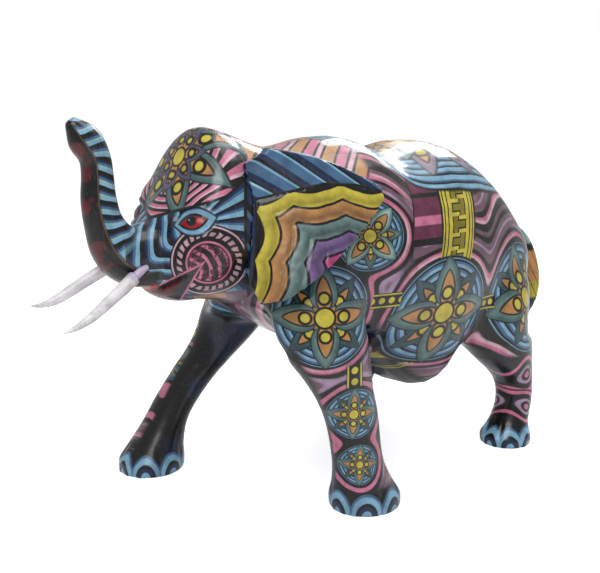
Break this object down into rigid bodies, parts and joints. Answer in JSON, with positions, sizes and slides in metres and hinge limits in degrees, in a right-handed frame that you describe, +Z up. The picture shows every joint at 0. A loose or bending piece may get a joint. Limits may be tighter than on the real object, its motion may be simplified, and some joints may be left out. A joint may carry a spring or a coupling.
{
  "type": "carved elephant figurine",
  "caption": "Walking elephant figure carved in wood with raised trunk, applied ears, tusks and tail, painted all over with flower wheels and bands; stands free on four soles as an ornament",
  "frame": {"origin": "middle of the figure's footprint box, on the surface it stands on", "axes": "-X the way the head points, -Y the animal's left side, +Z up"},
  "size_m": [0.3459, 0.146, 0.1941],
  "materials": {
    "body_paint": "brush-painted artist's colours on wood, black ground with pink, blue and ochre flower wheels, under gloss varnish",
    "head_paint": "brush-painted light blue, black and rose bands under gloss varnish",
    "trunk_paint": "brush-painted light blue rings on black, dark red along the underside, gloss varnish",
    "ear_paint": "brush-painted scalloped bands of yellow, ochre, sea green and violet, gloss varnish",
    "leg_paint": "brush-painted black with flower wheels and light blue toe arcs, gloss varnish",
    "tail_paint": "brush-painted mint, ochre and green bands, gloss varnish",
    "tusk": "smooth white resin, slightly translucent, gloss",
    "bare_wood": "bare turned dowel, matt"
  },
  "bodies": {
    "root": {"torso": "body_paint", "head": "head_paint", "trunk": "trunk_paint", "left_ear": "ear_paint", "right_ear": "ear_paint", "left_tusk": "tusk", "right_tusk": "tusk", "tail": "tail_paint", "front_left_leg": "leg_paint", "front_right_leg": "leg_paint", "hind_left_leg": "leg_paint", "hind_right_leg": "leg_paint", "neck_dowels": "bare_wood", "trunk_dowel": "bare_wood", "front_left_dowel": "bare_wood", "front_right_dowel": "bare_wood", "hind_left_dowel": "bare_wood", "hind_right_dowel": "bare_wood"}
  },
  "joints": []
}
